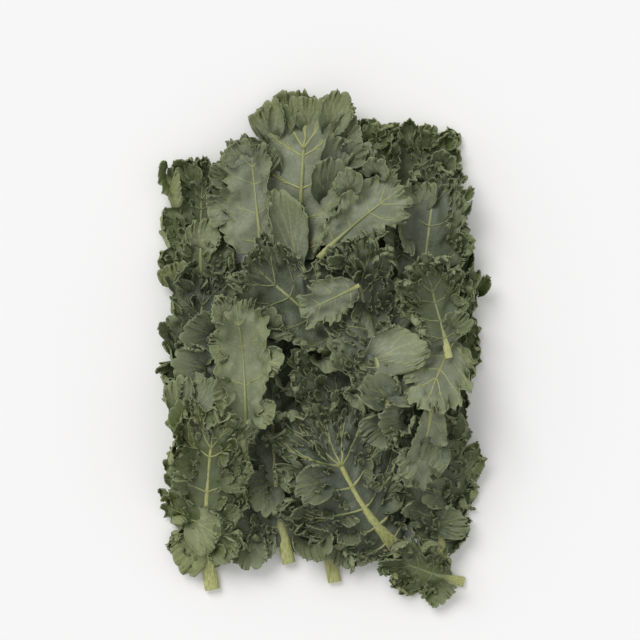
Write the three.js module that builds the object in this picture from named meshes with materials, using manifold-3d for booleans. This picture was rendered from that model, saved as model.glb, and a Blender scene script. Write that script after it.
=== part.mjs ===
// A loose bunch of whole curly kale leaves, lying on a flat surface with the cut stalks towards -Y
// and the leaf tips towards +Y. Millimetres, +Z up, origin under the middle of the bunch.
// Each leaf is one solid: a tapering stalk that runs on as the midrib, and a thin blade with lobes,
// notches and a ruffled, partly rolled margin. The leaves lie on each other in the order of LEAVES.
import * as THREE from "three";
import { mergeVertices } from "three/addons/utils/BufferGeometryUtils.js";
import Module from "manifold-3d";

const wasm = await Module();
wasm.setup();

// Driving dimensions, in millimetres
const BLADE = 0.9; // thickness of a blade
const GAP = 1.1; // clear height between a leaf and those under it
const STALK_RADIUS = 3.4; // at the cut end of a leaf with a reach of REACH_TYPICAL
const REACH_TYPICAL = 42; // half width of a middling leaf
const RIB_END = 0.22; // radius at the rib's far end, as a share of that at the cut end
const WAVE = 1.7; // half height of the slow wave at the margin, one crest in two lobes
const FRILL = 1.5; // half height of the quick ruffle at the margin, two crests a lobe
const FINE = 0.5; // half height left free for the finest crimps of the margin
const SINK = 0.5; // how far the blade lies off the rib's axis, in rib radii

// Shape of a blade, as shares and angles
const NOTCH = 0.26; // depth of the notch between two lobes
const NOTCH_AT_TIP = 0.14;
const UNEVEN = 0.12; // how much longer or shorter than the others a lobe grows
const TIP_SHARE = 0.32; // share of the outline whose veins fan out from the rib's end
const TIP_REACH = 0.8; // length of the last lobe, in reaches
const BASE_ANGLE = 1.6; // between rib and veins at the stalk, in radians
const TIP_ANGLE = 1.05; // and at the rib's end
const FORWARD = 0.24; // how far a vein bends towards the tip on its way out
const ROLL_START = 0.68; // where along a vein the margin starts to roll up

// How the pile settles
const CELL = 2; // grid of the pile's height
const HALF_X = 134;
const HALF_Y = 194;
const FALL = 0.7; // steepest slope of a leaf that comes down off others

// How finely the solids are cut: each ring runs round the blade at its share of the way out to the margin,
// with a vertex at every ray or at every second one
const RAYS_PER_LOBE = 4;
const RINGS = [{ share: 0.42, step: 2 }, { share: 0.74, step: 1 }, { share: 1, step: 1 }];
const RINGS_HIDDEN = [{ share: 0.55, step: 2 }, { share: 1, step: 2 }];
const RIB_STATIONS = 6;
const RIB_SIDES = 6;

// Where the middle of the bunch lies on the pile's grid
const MIDDLE = { x: 0.42, y: -2.72 };

const GREEN = 0x4d5a40;
const DARK = 0x3d4836;
const PALE = 0x7d8a66;

// What a leaf is like where its row in LEAVES doesn't say otherwise. reach is the half width, bare the share
// of the rib with no blade, base the reach of the lowest lobes as a share, skew how much further the left
// half reaches, thick the stalk's thickness as a share, up is 1 where the upper face shows and -1 where the
// leaf lies on its face, roll is how far the margin rolls up, in radians, and curly how strong its ruffles are.
const ORDINARY = {
  reach: 36, lobes: 9, bare: 0.2, base: 0.5, skew: 0, thick: 1, up: 1, roll: 0.9, curly: 0.9,
};
const UNDERMOST = { reach: 46, base: 0.8, roll: 0.2, curly: 0.35, hidden: true };
const PALE_SIDE = { reach: 25, bare: 0.15, thick: 0.7, up: -1, roll: 0.7, curly: 0.7 };

// cut is the stalk's cut end, bend pulls the rib into its curve, and tip is the leaf's far end
const leaf = (name, cut, bend, tip, ...ways) => Object.assign({ name, cut, bend, tip }, ORDINARY, ...ways);

// From the lowest leaf to the topmost
const LEAVES = [
  leaf("leaf_under_left", [-50, -146], [-70, -60], [-66, 60], UNDERMOST, { reach: 43 }),
  leaf("leaf_under_right", [36, -148], [66, -54], [66, 84], UNDERMOST, { reach: 44 }),
  leaf("leaf_under_middle", [11, -165], [-6, -70], [-2, 40], UNDERMOST, { bare: 0.08 }),
  leaf("leaf_under_top", [6, -24], [8, 40], [6, 124], UNDERMOST, { reach: 44, bare: 0.1 }),
  leaf("leaf_right_edge", [80, -96], [94, -27], [88, 84], { reach: 24, bare: 0.1, curly: 0.8 }),
  leaf("leaf_top_right", [52, -6], [57, 63], [76, 148], { bare: 0.3, curly: 0.8 }),
  leaf("leaf_left_top", [-72, -30], [-84, 33], [-78, 128], { lobes: 11, bare: 0.25, roll: 1, curly: 0.8 }),
  leaf("leaf_top_middle", [16, 10], [20, 70], [38, 152], { reach: 34, bare: 0.3, curly: 0.8 }),
  leaf("leaf_right_top", [60, -30], [70, 36], [80, 122], { reach: 35, bare: 0.3, roll: 1.2, curly: 1 }),
  leaf("leaf_middle", [-20, -152], [-34, -92], [-30, -20], { reach: 44, bare: 0.1, base: 1, roll: 0.6 }),
  leaf("leaf_left_middle", [-82, -94], [-90, -20], [-74, 45], { reach: 30, lobes: 11, bare: 0.1, roll: 1 }),
  leaf("leaf_pale_edge", [-56, -54], [-76, -46], [-104, -28], PALE_SIDE, { reach: 20, lobes: 7, skew: -0.3 }),
  leaf("leaf_centre", [26, -120], [20, -70], [6, 0], { reach: 42, base: 0.7, roll: 1, curly: 1 }),
  leaf("leaf_bottom_middle", [59, -145], [21, -117], [-6, -28], {
    reach: 64, lobes: 13, bare: 0.08, base: 0.6, skew: -0.1, thick: 1.15, curly: 1,
  }),
  leaf("leaf_crown", [-16, 30], [-12, 85], [-8, 172], {
    reach: 46, lobes: 11, skew: 0.2, up: -1, roll: 0.7, curly: 0.8,
  }),
  leaf("leaf_crown_left", [-36, 44], [-42, 86], [-46, 134], PALE_SIDE, { reach: 22, base: 0.8, skew: 0.6 }),
  leaf("leaf_pale_top", [0, 54], [20, 76], [60, 104], PALE_SIDE),
  leaf("leaf_middle_top", [22, -6], [-6, 16], [-56, 60], { reach: 37, bare: 0.1, roll: 0.5, curly: 0.7 }),
  leaf("leaf_right_middle", [52, -66], [34, 6], [21, 66], { reach: 40, lobes: 11, bare: 0.05, roll: 1 }),
  leaf("leaf_pale_middle", [27, 36], [10, 27], [-14, 17], PALE_SIDE, {
    reach: 19, lobes: 7, bare: 0.05, thick: 0.5,
  }),
  leaf("leaf_right_low", [84, -150], [82, -107], [72, -42], { reach: 38, lobes: 11, bare: 0.05, roll: 1.2 }),
  leaf("leaf_bottom_right", [99, -165], [78, -160], [38, -142], { reach: 26, roll: 1, curly: 0.8 }),
  leaf("leaf_pale_low", [74, -36], [75, -66], [58, -98], PALE_SIDE, { reach: 17, lobes: 7, skew: 0.3 }),
  leaf("leaf_pale_right", [92, 6], [84, -12], [66, -50], PALE_SIDE, { reach: 28, base: 0.8 }),
  leaf("leaf_right_fan", [86, -12], [81, 14], [68, 60], { reach: 31, bare: 0.15, thick: 0.7, roll: 1 }),
  leaf("leaf_pale_left", [-50, -84], [-46, -30], [-56, 29], PALE_SIDE, { reach: 24 }),
  leaf("leaf_bottom_left", [-72, -170], [-82, -120], [-66, -38], {
    reach: 37, lobes: 11, bare: 0.14, base: 0.8, thick: 1.25,
  }),
];

const mix = (a, b, share) => a + (b - a) * share;
const smooth = (t) => {
  const s = Math.min(1, Math.max(0, t));
  return s * s * (3 - 2 * s);
};

// The rib's line seen from above, a quadratic curve: its point and its direction at u, from 0 to 1
function ribAt(leaf, u) {
  const [a, b, c] = [leaf.cut, leaf.bend, leaf.tip];
  const at = (i) => (1 - u) * (1 - u) * a[i] + 2 * u * (1 - u) * b[i] + u * u * c[i];
  const slope = (i) => 2 * (1 - u) * (b[i] - a[i]) + 2 * u * (c[i] - b[i]);
  return { x: at(0), y: at(1), heading: Math.atan2(slope(1), slope(0)) };
}

// Where the rib stops, short of the leaf's tip by the last lobe
function ribEnd(leaf) {
  const leg = (p, q) => Math.hypot(q[0] - p[0], q[1] - p[1]);
  const length = leg(leaf.cut, leaf.bend) + leg(leaf.bend, leaf.tip);
  return 1 - (TIP_REACH * leaf.reach) / length;
}

// The stalk is thickest at its cut end, and the rib thins towards the tip
function ribRadius(leaf, u) {
  const thick = STALK_RADIUS * leaf.thick * Math.sqrt(leaf.reach / REACH_TYPICAL);
  return thick * mix(1, RIB_END, smooth(u / ribEnd(leaf)));
}

// How long the vein is that ends at this lobe, where along counts from 0 at the stalk to 1 at the rib's end
function veinLength(leaf, lobe, along, toTip) {
  const q = (2 * lobe) / leaf.lobes - 1;
  const wide = mix(leaf.base, 1, smooth(along / 0.55)) * mix(1, TIP_REACH, smooth(toTip));
  const notch = mix(NOTCH, NOTCH_AT_TIP, smooth(toTip));
  const notched = 1 - notch * (1 - Math.sqrt(Math.abs(Math.sin(Math.PI * lobe))));
  const uneven = 1 + UNEVEN * Math.sin(2.1 * lobe + leaf.cut[0]) * (1 - q * q);
  return leaf.reach * wide * notched * uneven * (1 - leaf.skew * q);
}

// A place on the blade: lobe counts lobes round the outline from 0 at the stalk's left to leaf.lobes at its
// right, and share runs along a vein from 0 at the rib to 1 at the margin.
function bladeAt(leaf, lobe, share) {
  const q = (2 * lobe) / leaf.lobes - 1;
  const away = Math.abs(q);
  const along = Math.min(1, (1 - away) / (1 - TIP_SHARE));
  const toTip = Math.max(0, 1 - away / TIP_SHARE);
  const u = mix(leaf.bare, ribEnd(leaf), along);
  const rib = ribAt(leaf, u);
  const opening = toTip > 0 ? (TIP_ANGLE * away) / TIP_SHARE : mix(BASE_ANGLE, TIP_ANGLE, along ** 1.3);
  const turned = opening * (1 - FORWARD * share);
  const heading = rib.heading + (q < 0 ? turned : -turned);
  const length = veinLength(leaf, lobe, along, toTip);

  const roll = leaf.roll * (0.5 + 0.5 * Math.sin(1.9 * lobe + leaf.cut[0])) + 0.01;
  const band = length * (1 - ROLL_START);
  const turn = roll * Math.max(0, (share - ROLL_START) / (1 - ROLL_START));
  const out = length * Math.min(share, ROLL_START) + (band * Math.sin(turn)) / roll;
  const rolledUp = (band * (1 - Math.cos(turn))) / roll;

  const radius = ribRadius(leaf, u);
  const ribSide = radius * Math.cos(Math.PI / RIB_SIDES) + leaf.up * SINK * radius;
  const waveRoom = leaf.curly * WAVE * share * share;
  const frillRoom = leaf.curly * FRILL * smooth((share - 0.35) / 0.65);
  const wave = waveRoom * (1 + Math.sin(Math.PI * lobe + leaf.cut[1]));
  const frill = frillRoom * (1 + Math.cos(4 * Math.PI * lobe));
  const lift = mix(ribSide, BLADE / 2, smooth(share / 0.7)) + rolledUp;
  const fineRoom = 2 * leaf.curly * FINE * smooth((share - 0.6) / 0.4);
  return {
    x: rib.x + out * Math.cos(heading),
    y: rib.y + out * Math.sin(heading),
    height: lift + wave + frill,
    room: lift + 2 * (waveRoom + frillRoom) + fineRoom + BLADE / 2,
  };
}

// The pile's height on a square grid. It starts as the bare surface, one gap below 0, so that the lowest
// leaves touch 0.
const COLUMNS = (2 * HALF_X) / CELL + 1;
const ROWS = (2 * HALF_Y) / CELL + 1;
const newField = () => Array.from({ length: ROWS }, () => new Float64Array(COLUMNS).fill(-GAP));

// Raises the field to top at a place and in the cells next to it
function heap(field, x, y, top) {
  const column = Math.round((x + HALF_X) / CELL);
  const row = Math.round((y + HALF_Y) / CELL);
  for (let r = row - 1; r <= row + 1; r++)
    for (let c = column - 1; c <= column + 1; c++)
      if (r >= 0 && r < ROWS && c >= 0 && c < COLUMNS) field[r][c] = Math.max(field[r][c], top);
}

// One row of the settled surface takes what its neighbour row and its own cells allow
function fallFrom(rowNear, row) {
  const step = FALL * CELL;
  for (let c = 0; c < COLUMNS; c++)
    for (const side of [-1, 0, 1]) {
      const near = rowNear?.[c + side];
      if (near !== undefined) row[c] = Math.max(row[c], near - step * Math.hypot(1, side));
    }
  for (let c = 1; c < COLUMNS; c++) row[c] = Math.max(row[c], row[c - 1] - step);
  for (let c = COLUMNS - 2; c >= 0; c--) row[c] = Math.max(row[c], row[c + 1] - step);
}

const SOFTEN = [1, 6, 15, 20, 15, 6, 1].map((weight) => weight / 64);

function softened(field) {
  const clamp = (i, n) => Math.min(n - 1, Math.max(0, i));
  const across = field.map((row) =>
    row.map((_, c) => SOFTEN.reduce((sum, weight, k) => sum + weight * row[clamp(c + k - 3, COLUMNS)], 0)),
  );
  const blended = (r, c) => SOFTEN.reduce((sum, weight, k) => sum + weight * across[clamp(r + k - 3, ROWS)][c], 0);
  return across.map((row, r) => row.map((_, c) => blended(r, c)));
}

// The surface on which the next leaf lies: over every high point, falling off it no steeper than FALL
function settledOver(field) {
  const widened = newField();
  for (let r = 0; r < ROWS; r++)
    for (let c = 0; c < COLUMNS; c++)
      for (const dr of [-1, 0, 1])
        for (const dc of [-1, 0, 1]) {
          const near = field[r + dr]?.[c + dc];
          if (near !== undefined) widened[r][c] = Math.max(widened[r][c], near);
        }
  for (let r = 0; r < ROWS; r++) fallFrom(widened[r - 1], widened[r]);
  for (let r = ROWS - 1; r >= 0; r--) fallFrom(widened[r + 1], widened[r]);
  return softened(softened(widened));
}

function heightAt(field, x, y) {
  const column = Math.min(COLUMNS - 1.001, Math.max(0, (x + HALF_X) / CELL));
  const row = Math.min(ROWS - 1.001, Math.max(0, (y + HALF_Y) / CELL));
  const [c, r] = [Math.floor(column), Math.floor(row)];
  const lower = mix(field[r][c], field[r][c + 1], column - c);
  const upper = mix(field[r + 1][c], field[r + 1][c + 1], column - c);
  return mix(lower, upper, row - r) + GAP;
}

// Raises the pile by the room that a leaf takes
function heapLeaf(field, ground, leaf) {
  for (let i = 0; i <= leaf.lobes * 12; i++)
    for (let k = 0; k <= 10; k++) {
      const place = bladeAt(leaf, i / 12, k / 10);
      heap(field, place.x, place.y, heightAt(ground, place.x, place.y) + place.room);
    }
  const end = ribEnd(leaf);
  for (let i = 0; i <= 60; i++) {
    const rib = ribAt(leaf, (end * i) / 60);
    const radius = ribRadius(leaf, (end * i) / 60);
    for (const side of [-1, 0, 1]) {
      const x = rib.x - side * radius * Math.sin(rib.heading);
      const y = rib.y + side * radius * Math.cos(rib.heading);
      heap(field, x, y, heightAt(ground, rib.x, rib.y) + 2 * radius);
    }
  }
}

// Fills the band between two rings, the outer one having as many vertices as the inner one or twice as many
function fillBand(triangles, inner, outer) {
  const add = (a, b, c) => {
    if (a !== b && b !== c && c !== a) triangles.push([a, b, c]);
  };
  const times = outer.length > inner.length ? 2 : 1;
  for (let i = 0; i + 1 < inner.length; i++) {
    const [a, b] = [inner[i], inner[i + 1]];
    const [c, d] = [outer[times * i], outer[times * (i + 1)]];
    const between = outer[2 * i + 1];
    if (times === 2) [[a, between, c], [a, b, between], [b, d, between]].forEach((t) => add(...t));
    else if (i % 2) [[a, b, d], [a, d, c]].forEach((t) => add(...t));
    else [[a, b, c], [b, d, c]].forEach((t) => add(...t));
  }
}

// The blade's middle surface, from a line of vertices along the rib to the margin. The veins of the left and
// the right half start in pairs on the rib, and those of the tip all start at its end.
function bladeSheet(leaf, ground) {
  const rings = leaf.hidden ? RINGS_HIDDEN : RINGS;
  const rays = leaf.lobes * RAYS_PER_LOBE;
  const points = [];
  const add = (ray, share) => {
    const place = bladeAt(leaf, ray / RAYS_PER_LOBE, share);
    const z = heightAt(ground, place.x, place.y) + place.height;
    return points.push(new THREE.Vector3(place.x, place.y, z)) - 1;
  };
  const onRib = new Map();
  const ribVertex = (ray) => {
    const away = Math.abs((2 * ray) / rays - 1);
    const place = away > TIP_SHARE ? Math.min(ray, rays - ray) : -1;
    if (!onRib.has(place)) onRib.set(place, add(ray, 0));
    return onRib.get(place);
  };
  const raysOf = (step) => Array.from({ length: rays / step + 1 }, (_, i) => i * step);
  const triangles = [];
  let inner = raysOf(rings[0].step).map(ribVertex);
  for (const ring of rings) {
    const outer = raysOf(ring.step).map((ray) => add(ray, ring.share));
    fillBand(triangles, inner, outer);
    inner = outer;
  }
  return { points, triangles };
}

function closedMesh(positions, index) {
  const geometry = new THREE.BufferGeometry();
  geometry.setAttribute("position", new THREE.Float32BufferAttribute(positions, 3));
  geometry.setIndex(index);
  return geometry;
}

// Gives a sheet its thickness, half on each side, and closes it round its edge
function thickened({ points, triangles }, thickness) {
  const normals = points.map(() => new THREE.Vector3());
  const directed = new Set();
  for (const [a, b, c] of triangles) {
    const across = new THREE.Vector3().subVectors(points[b], points[a]);
    across.cross(new THREE.Vector3().subVectors(points[c], points[a]));
    for (const v of [a, b, c]) normals[v].add(across);
    for (const edge of [[a, b], [b, c], [c, a]]) directed.add(edge.join());
  }
  normals.forEach((normal) => normal.normalize().multiplyScalar(thickness / 2));
  const faceOf = (side) => points.flatMap((p, i) => p.clone().addScaledVector(normals[i], side).toArray());
  const count = points.length;
  const index = triangles.flatMap(([a, b, c]) => [a, b, c, a + count, c + count, b + count]);
  for (const edge of directed) {
    const [a, b] = edge.split(",").map(Number);
    if (!directed.has([b, a].join())) index.push(a, b + count, b, a, a + count, b + count);
  }
  return closedMesh([...faceOf(1), ...faceOf(-1)], index);
}

// The stalk and the rib as one tapering bar with a flat lower side, which lies on the ground
function stalk(leaf, ground) {
  const positions = [];
  const index = [];
  const end = ribEnd(leaf);
  for (let i = 0; i < RIB_STATIONS; i++) {
    const u = (end * i) / (RIB_STATIONS - 1);
    const rib = ribAt(leaf, u);
    const radius = ribRadius(leaf, u);
    const z = heightAt(ground, rib.x, rib.y) + radius * Math.cos(Math.PI / RIB_SIDES);
    for (let k = 0; k < RIB_SIDES; k++) {
      const angle = (2 * Math.PI * (k + 0.5)) / RIB_SIDES - Math.PI / 2;
      const side = radius * Math.cos(angle);
      const [x, y] = [rib.x + side * Math.sin(rib.heading), rib.y - side * Math.cos(rib.heading)];
      positions.push(x, y, z + radius * Math.sin(angle));
    }
  }
  for (let i = 0; i + 1 < RIB_STATIONS; i++)
    for (let k = 0; k < RIB_SIDES; k++) {
      const [a, b] = [i * RIB_SIDES + k, i * RIB_SIDES + ((k + 1) % RIB_SIDES)];
      index.push(a, b, b + RIB_SIDES, a, b + RIB_SIDES, a + RIB_SIDES);
    }
  const last = (RIB_STATIONS - 1) * RIB_SIDES;
  for (let k = 1; k + 1 < RIB_SIDES; k++) index.push(0, k + 1, k, last, last + k, last + k + 1);
  return closedMesh(positions, index);
}

// A closed mesh as a solid, turned inside out first if its faces point inwards
function solidOf(geometry) {
  const merged = mergeVertices(geometry, 1e-4);
  const vertProperties = merged.attributes.position.array;
  const solidWith = (index) => new wasm.Manifold(new wasm.Mesh({ numProp: 3, vertProperties, triVerts: index }));
  const index = new Uint32Array(merged.index.array);
  const solid = solidWith(index);
  return solid.volume() > 0 ? solid : solidWith(index.reverse());
}

// The outer shell alone, so that no hollow is left where a blade and its rib close one in
function filled(solid) {
  const shells = solid.decompose();
  return shells.reduce((most, shell) => (shell.volume() > most.volume() ? shell : most));
}

function colourOf(leaf) {
  if (leaf.hidden) return DARK;
  return leaf.up < 0 ? PALE : GREEN;
}

function leafMesh(leaf, ground) {
  const blade = solidOf(thickened(bladeSheet(leaf, ground), BLADE));
  const whole = filled(blade.add(solidOf(stalk(leaf, ground)))).getMesh();
  const geometry = closedMesh(Array.from(whole.vertProperties), Array.from(whole.triVerts));
  const material = new THREE.MeshStandardMaterial({ color: colourOf(leaf), roughness: 0.6, metalness: 0 });
  const mesh = new THREE.Mesh(geometry, material);
  mesh.name = leaf.name;
  return mesh;
}

function kaleBunch() {
  const bunch = new THREE.Group();
  const field = newField();
  for (const leaf of LEAVES) {
    const ground = settledOver(field);
    bunch.add(leafMesh(leaf, ground));
    heapLeaf(field, ground, leaf);
  }
  bunch.position.set(-MIDDLE.x, -MIDDLE.y, 0);
  const part = new THREE.Group();
  part.add(bunch);
  return part;
}

export default kaleBunch();
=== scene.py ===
"""A loose bunch of whole curly kale leaves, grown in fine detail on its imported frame.

Each leaf's fine mesh follows the same outline, rib and pile as its node, and adds what the node leaves
out: crimped and curled margins, larger lobes folded over, small lobes and tufts of tight curls, veins, a
grooved stalk and the leaf's colours.
"""

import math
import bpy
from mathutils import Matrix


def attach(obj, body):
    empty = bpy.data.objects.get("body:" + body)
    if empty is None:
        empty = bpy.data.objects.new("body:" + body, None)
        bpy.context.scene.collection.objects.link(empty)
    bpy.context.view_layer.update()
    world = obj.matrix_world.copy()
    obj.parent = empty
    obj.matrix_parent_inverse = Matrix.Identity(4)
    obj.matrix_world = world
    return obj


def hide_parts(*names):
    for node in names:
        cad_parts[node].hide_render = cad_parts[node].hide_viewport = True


bl_info = {
    "name": "Kale Bunch",
    "version": (1, 0, 0),
    "blender": (4, 5, 0),
    "location": "View3D > Sidebar > Kale",
    "description": "Grows the curly leaves of a loose kale bunch where its frame says they lie",
    "category": "Object",
}

from dataclasses import dataclass, field
from functools import lru_cache

import bpy
import numpy as np
from bpy.props import FloatProperty, FloatVectorProperty, IntProperty, PointerProperty
from bpy.types import Operator, Panel, PropertyGroup

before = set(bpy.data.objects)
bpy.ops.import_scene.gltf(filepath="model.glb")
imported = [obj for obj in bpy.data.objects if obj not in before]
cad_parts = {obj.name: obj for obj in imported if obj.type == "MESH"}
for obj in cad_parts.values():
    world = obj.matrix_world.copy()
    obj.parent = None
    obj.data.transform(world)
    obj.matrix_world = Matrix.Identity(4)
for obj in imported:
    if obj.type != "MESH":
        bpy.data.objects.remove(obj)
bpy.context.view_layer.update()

# Sizes of the nodes' own form, in millimetres, and its angles and shares
BLADE = 0.9
GAP = 1.1
STALK_RADIUS = 3.4
REACH_TYPICAL = 42
RIB_END = 0.22
WAVE = 1.7
FRILL = 1.5
FINE = 0.5
SINK = 0.5
NOTCH = 0.26
NOTCH_AT_TIP = 0.14
UNEVEN = 0.12
TIP_SHARE = 0.32
TIP_REACH = 0.8
BASE_ANGLE = 1.6
TIP_ANGLE = 1.05
FORWARD = 0.24
ROLL_START = 0.68
CELL = 2
HALF_X = 134
HALF_Y = 194
FALL = 0.7
RIB_SIDES = 6
MIDDLE = (0.42, -2.72)

# Fine detail, in millimetres
SPACING = 1.25  # between vertices along a margin
SPACING_HIDDEN = 1.6  # and where little of the leaf shows
CURL_SPACING = 0.7  # between vertices along the margin of a small lobe
RIPPLE = 6.0  # wavelength of the ripples at a margin
CRIMP = 3.0  # wavelength of the finest crimps
TOOTH = 2.6  # from one small tooth of the margin to the next
BLISTER = 9.0  # from one blister of the blade to the next
PRESSED = 0.5  # height below which the leaves lie pressed onto the surface
LEAN = 0.13  # how far ripples lean over, as a share of their wavelength

# A blade's rings, by their share of the way out. Up to the first of these shares only every fourth ray has
# vertices, and up to the second one every second ray.
FOURTH_TO, SECOND_TO = 0.4, 0.7
RING_SHARES = np.concatenate([
    np.linspace(0, FOURTH_TO, 5),
    np.linspace(FOURTH_TO, SECOND_TO, 6)[1:],
    np.linspace(SECOND_TO, 1, 9)[1:],
])

# Half the heap's width and length, and from which share of them on the leaves turn yellower, and how far
OUTER_X, OUTER_Y = 110.0, 172.0
YELLOW_FROM, YELLOW_BY = 0.74, 0.55

# Stalk and rib, in the radii of the node's own: width of each and their height
STALK_WIDE, RIB_WIDE, STALK_HIGH = 1.311, 0.95, 0.9025

# The kinds of small lobes on a blade: how far their roots keep from each other, the range of their length,
# half their spread, the range of their tilt, and their waves. Each wave has its length, its height, and how
# late on the way to the rim it grows. Sizes are in millimetres and angles in radians.
TUFT, LOBE, BROAD = range(3)
KINDS = (
    (4.9, (4.5, 7.5), 1.3, (0.4, 1.1), ((3.2, 1.1, 1.4), (1.7, 0.3, 3))),
    (9.0, (10, 15), 1.1, (0.1, 0.5), ((4.8, 1.2, 2), (2.3, 0.4, 4))),
    (14.0, (16, 23), 1.0, (0.05, 0.3), ((5.6, 1.3, 2.6), (2.6, 0.45, 5))),
)
ARCHES, ARCHES_TUFT, ARCHES_FOLDED = (0.3, 1.0), (0.2, 0.9), (1.8, 2.5)
FOLDED_SHARE = 0.25  # of the small lobes
TRIES = 2500  # places tried on each leaf for the root of a small lobe

SMALL, LARGE = 10, 16  # lobes of at least these sizes get more rings
ROOT_SHARE = 0.3  # where a large lobe starts, so that its root is broad
SUNK_ROOT = 2.2  # how far below the blade that root starts
BAY = 10  # width of the bays in a large lobe's rim
BAY_DEPTH = 4.5  # and how deep a bay cuts in, up to a fifth of the lobe
SEEN_TILT, SEEN_ARCH = 0.12, 8  # tilt of the larger lobes, and their arch times their length
SEEN_WAVES = ((6.0, 1.9, 1.8), (2.8, 0.8, 2))

# The finishes in the order in which each leaf has them, and how long a stalk is on their map
UPPER, UNDER, RIB, CUT = range(4)
MAP_LENGTH = 10

# Veins of a small lobe: where across it each ends, and how far out it forks off the middle one
FAN_VEINS = ((0.0, 0.0), (0.42, 0.4), (-0.42, 0.47), (0.8, 0.2), (-0.8, 0.26))
FAN_VEIN = 0.45  # half its width
FAN_VEIN_RISE = 0.2


@dataclass(frozen=True)
class Leaf:
    """One leaf. The values down to thick shape its node too. moss is the share of tufts among its curls,
    tone how yellow it is, open how far from its rib no curls grow, and ragged how deep its margin is cut."""

    name: str
    cut: tuple
    bend: tuple
    tip: tuple
    reach: float = 36
    lobes: int = 9
    bare: float = 0.2
    base: float = 0.5
    skew: float = 0
    up: int = 1
    roll: float = 0.9
    curly: float = 0.9
    hidden: bool = False
    thick: float = 1.0
    moss: float = 0.7
    tone: float = 0.22
    open: float = 4.0
    ragged: float = 0.12


UNDERMOST = {"reach": 46, "base": 0.8, "roll": 0.2, "curly": 0.35, "hidden": True}
PALE_SIDE = {"reach": 25, "bare": 0.15, "thick": 0.7, "up": -1, "roll": 0.7, "curly": 0.7, "ragged": 0.25}


def leaf(name, cut, bend, tip, ways=None, **more):
    return Leaf(f"leaf_{name}", cut, bend, tip, **{**(ways or {}), **more})


# From the lowest leaf to the topmost
LEAVES = [
    leaf("under_left", (-50, -146), (-70, -60), (-66, 60), UNDERMOST, reach=43),
    leaf("under_right", (36, -148), (66, -54), (66, 84), UNDERMOST, reach=44),
    leaf("under_middle", (11, -165), (-6, -70), (-2, 40), UNDERMOST, bare=0.08),
    leaf("under_top", (6, -24), (8, 40), (6, 124), UNDERMOST, reach=44, bare=0.1),
    leaf("right_edge", (80, -96), (94, -27), (88, 84), reach=24, bare=0.1, curly=0.8),
    leaf("top_right", (52, -6), (57, 63), (76, 148), bare=0.3, curly=0.8, tone=0.6),
    leaf("left_top", (-72, -30), (-84, 33), (-78, 128), lobes=11, bare=0.25, roll=1, curly=0.8, tone=0.5),
    leaf("top_middle", (16, 10), (20, 70), (38, 152), reach=34, bare=0.3, curly=0.8, tone=0.6),
    leaf("right_top", (60, -30), (70, 36), (80, 122), reach=35, bare=0.3, roll=1.2, curly=1, open=13),
    leaf("middle", (-20, -152), (-34, -92), (-30, -20), reach=44, bare=0.1, base=1, roll=0.6),
    leaf("left_middle", (-82, -94), (-90, -20), (-74, 45), reach=30, lobes=11, bare=0.1, roll=1, moss=0.4,
         tone=0.1, open=8),
    leaf("pale_edge", (-56, -54), (-76, -46), (-104, -28), PALE_SIDE, reach=20, lobes=7, skew=-0.3),
    leaf("centre", (26, -120), (20, -70), (6, 0), reach=42, base=0.7, roll=1, curly=1),
    leaf("bottom_middle", (59, -145), (21, -117), (-6, -28), thick=1.15, reach=64, lobes=13, bare=0.08,
         base=0.6, skew=-0.1, curly=1, tone=0.15, open=9),
    leaf("crown", (-16, 30), (-12, 85), (-8, 172), reach=46, lobes=11, skew=0.2, up=-1, roll=0.7, curly=0.8),
    leaf("crown_left", (-36, 44), (-42, 86), (-46, 134), PALE_SIDE, reach=22, base=0.8, skew=0.6),
    leaf("pale_top", (0, 54), (20, 76), (60, 104), PALE_SIDE),
    leaf("middle_top", (22, -6), (-6, 16), (-56, 60), reach=37, bare=0.1, roll=0.5, curly=0.7, moss=0.7,
         tone=0.2, open=20),
    leaf("right_middle", (52, -66), (34, 6), (21, 66), reach=40, lobes=11, bare=0.05, roll=1, moss=0.75,
         tone=0.2, open=0.5),
    leaf("pale_middle", (27, 36), (10, 27), (-14, 17), PALE_SIDE, reach=19, lobes=7, bare=0.05, thick=0.5),
    leaf("right_low", (84, -150), (82, -107), (72, -42), reach=38, lobes=11, bare=0.05, roll=1.2, moss=0.8,
         open=0.5),
    leaf("bottom_right", (99, -165), (78, -160), (38, -142), reach=26, roll=1, curly=0.8, moss=0.5,
         tone=0.5, open=6, ragged=0.4),
    leaf("pale_low", (74, -36), (75, -66), (58, -98), PALE_SIDE, reach=17, lobes=7, skew=0.3),
    leaf("pale_right", (92, 6), (84, -12), (66, -50), PALE_SIDE, reach=28, base=0.8),
    leaf("right_fan", (86, -12), (81, 14), (68, 60), reach=31, bare=0.15, thick=0.7, roll=1, tone=0.4,
         open=12),
    leaf("pale_left", (-50, -84), (-46, -30), (-56, 29), PALE_SIDE, reach=24, tone=0.5, ragged=0.4),
    leaf("bottom_left", (-72, -170), (-82, -120), (-66, -38), thick=1.25, reach=37, lobes=11, bare=0.14,
         base=0.8, moss=0.5, tone=0.6, open=8, ragged=0.2),
]


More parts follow.
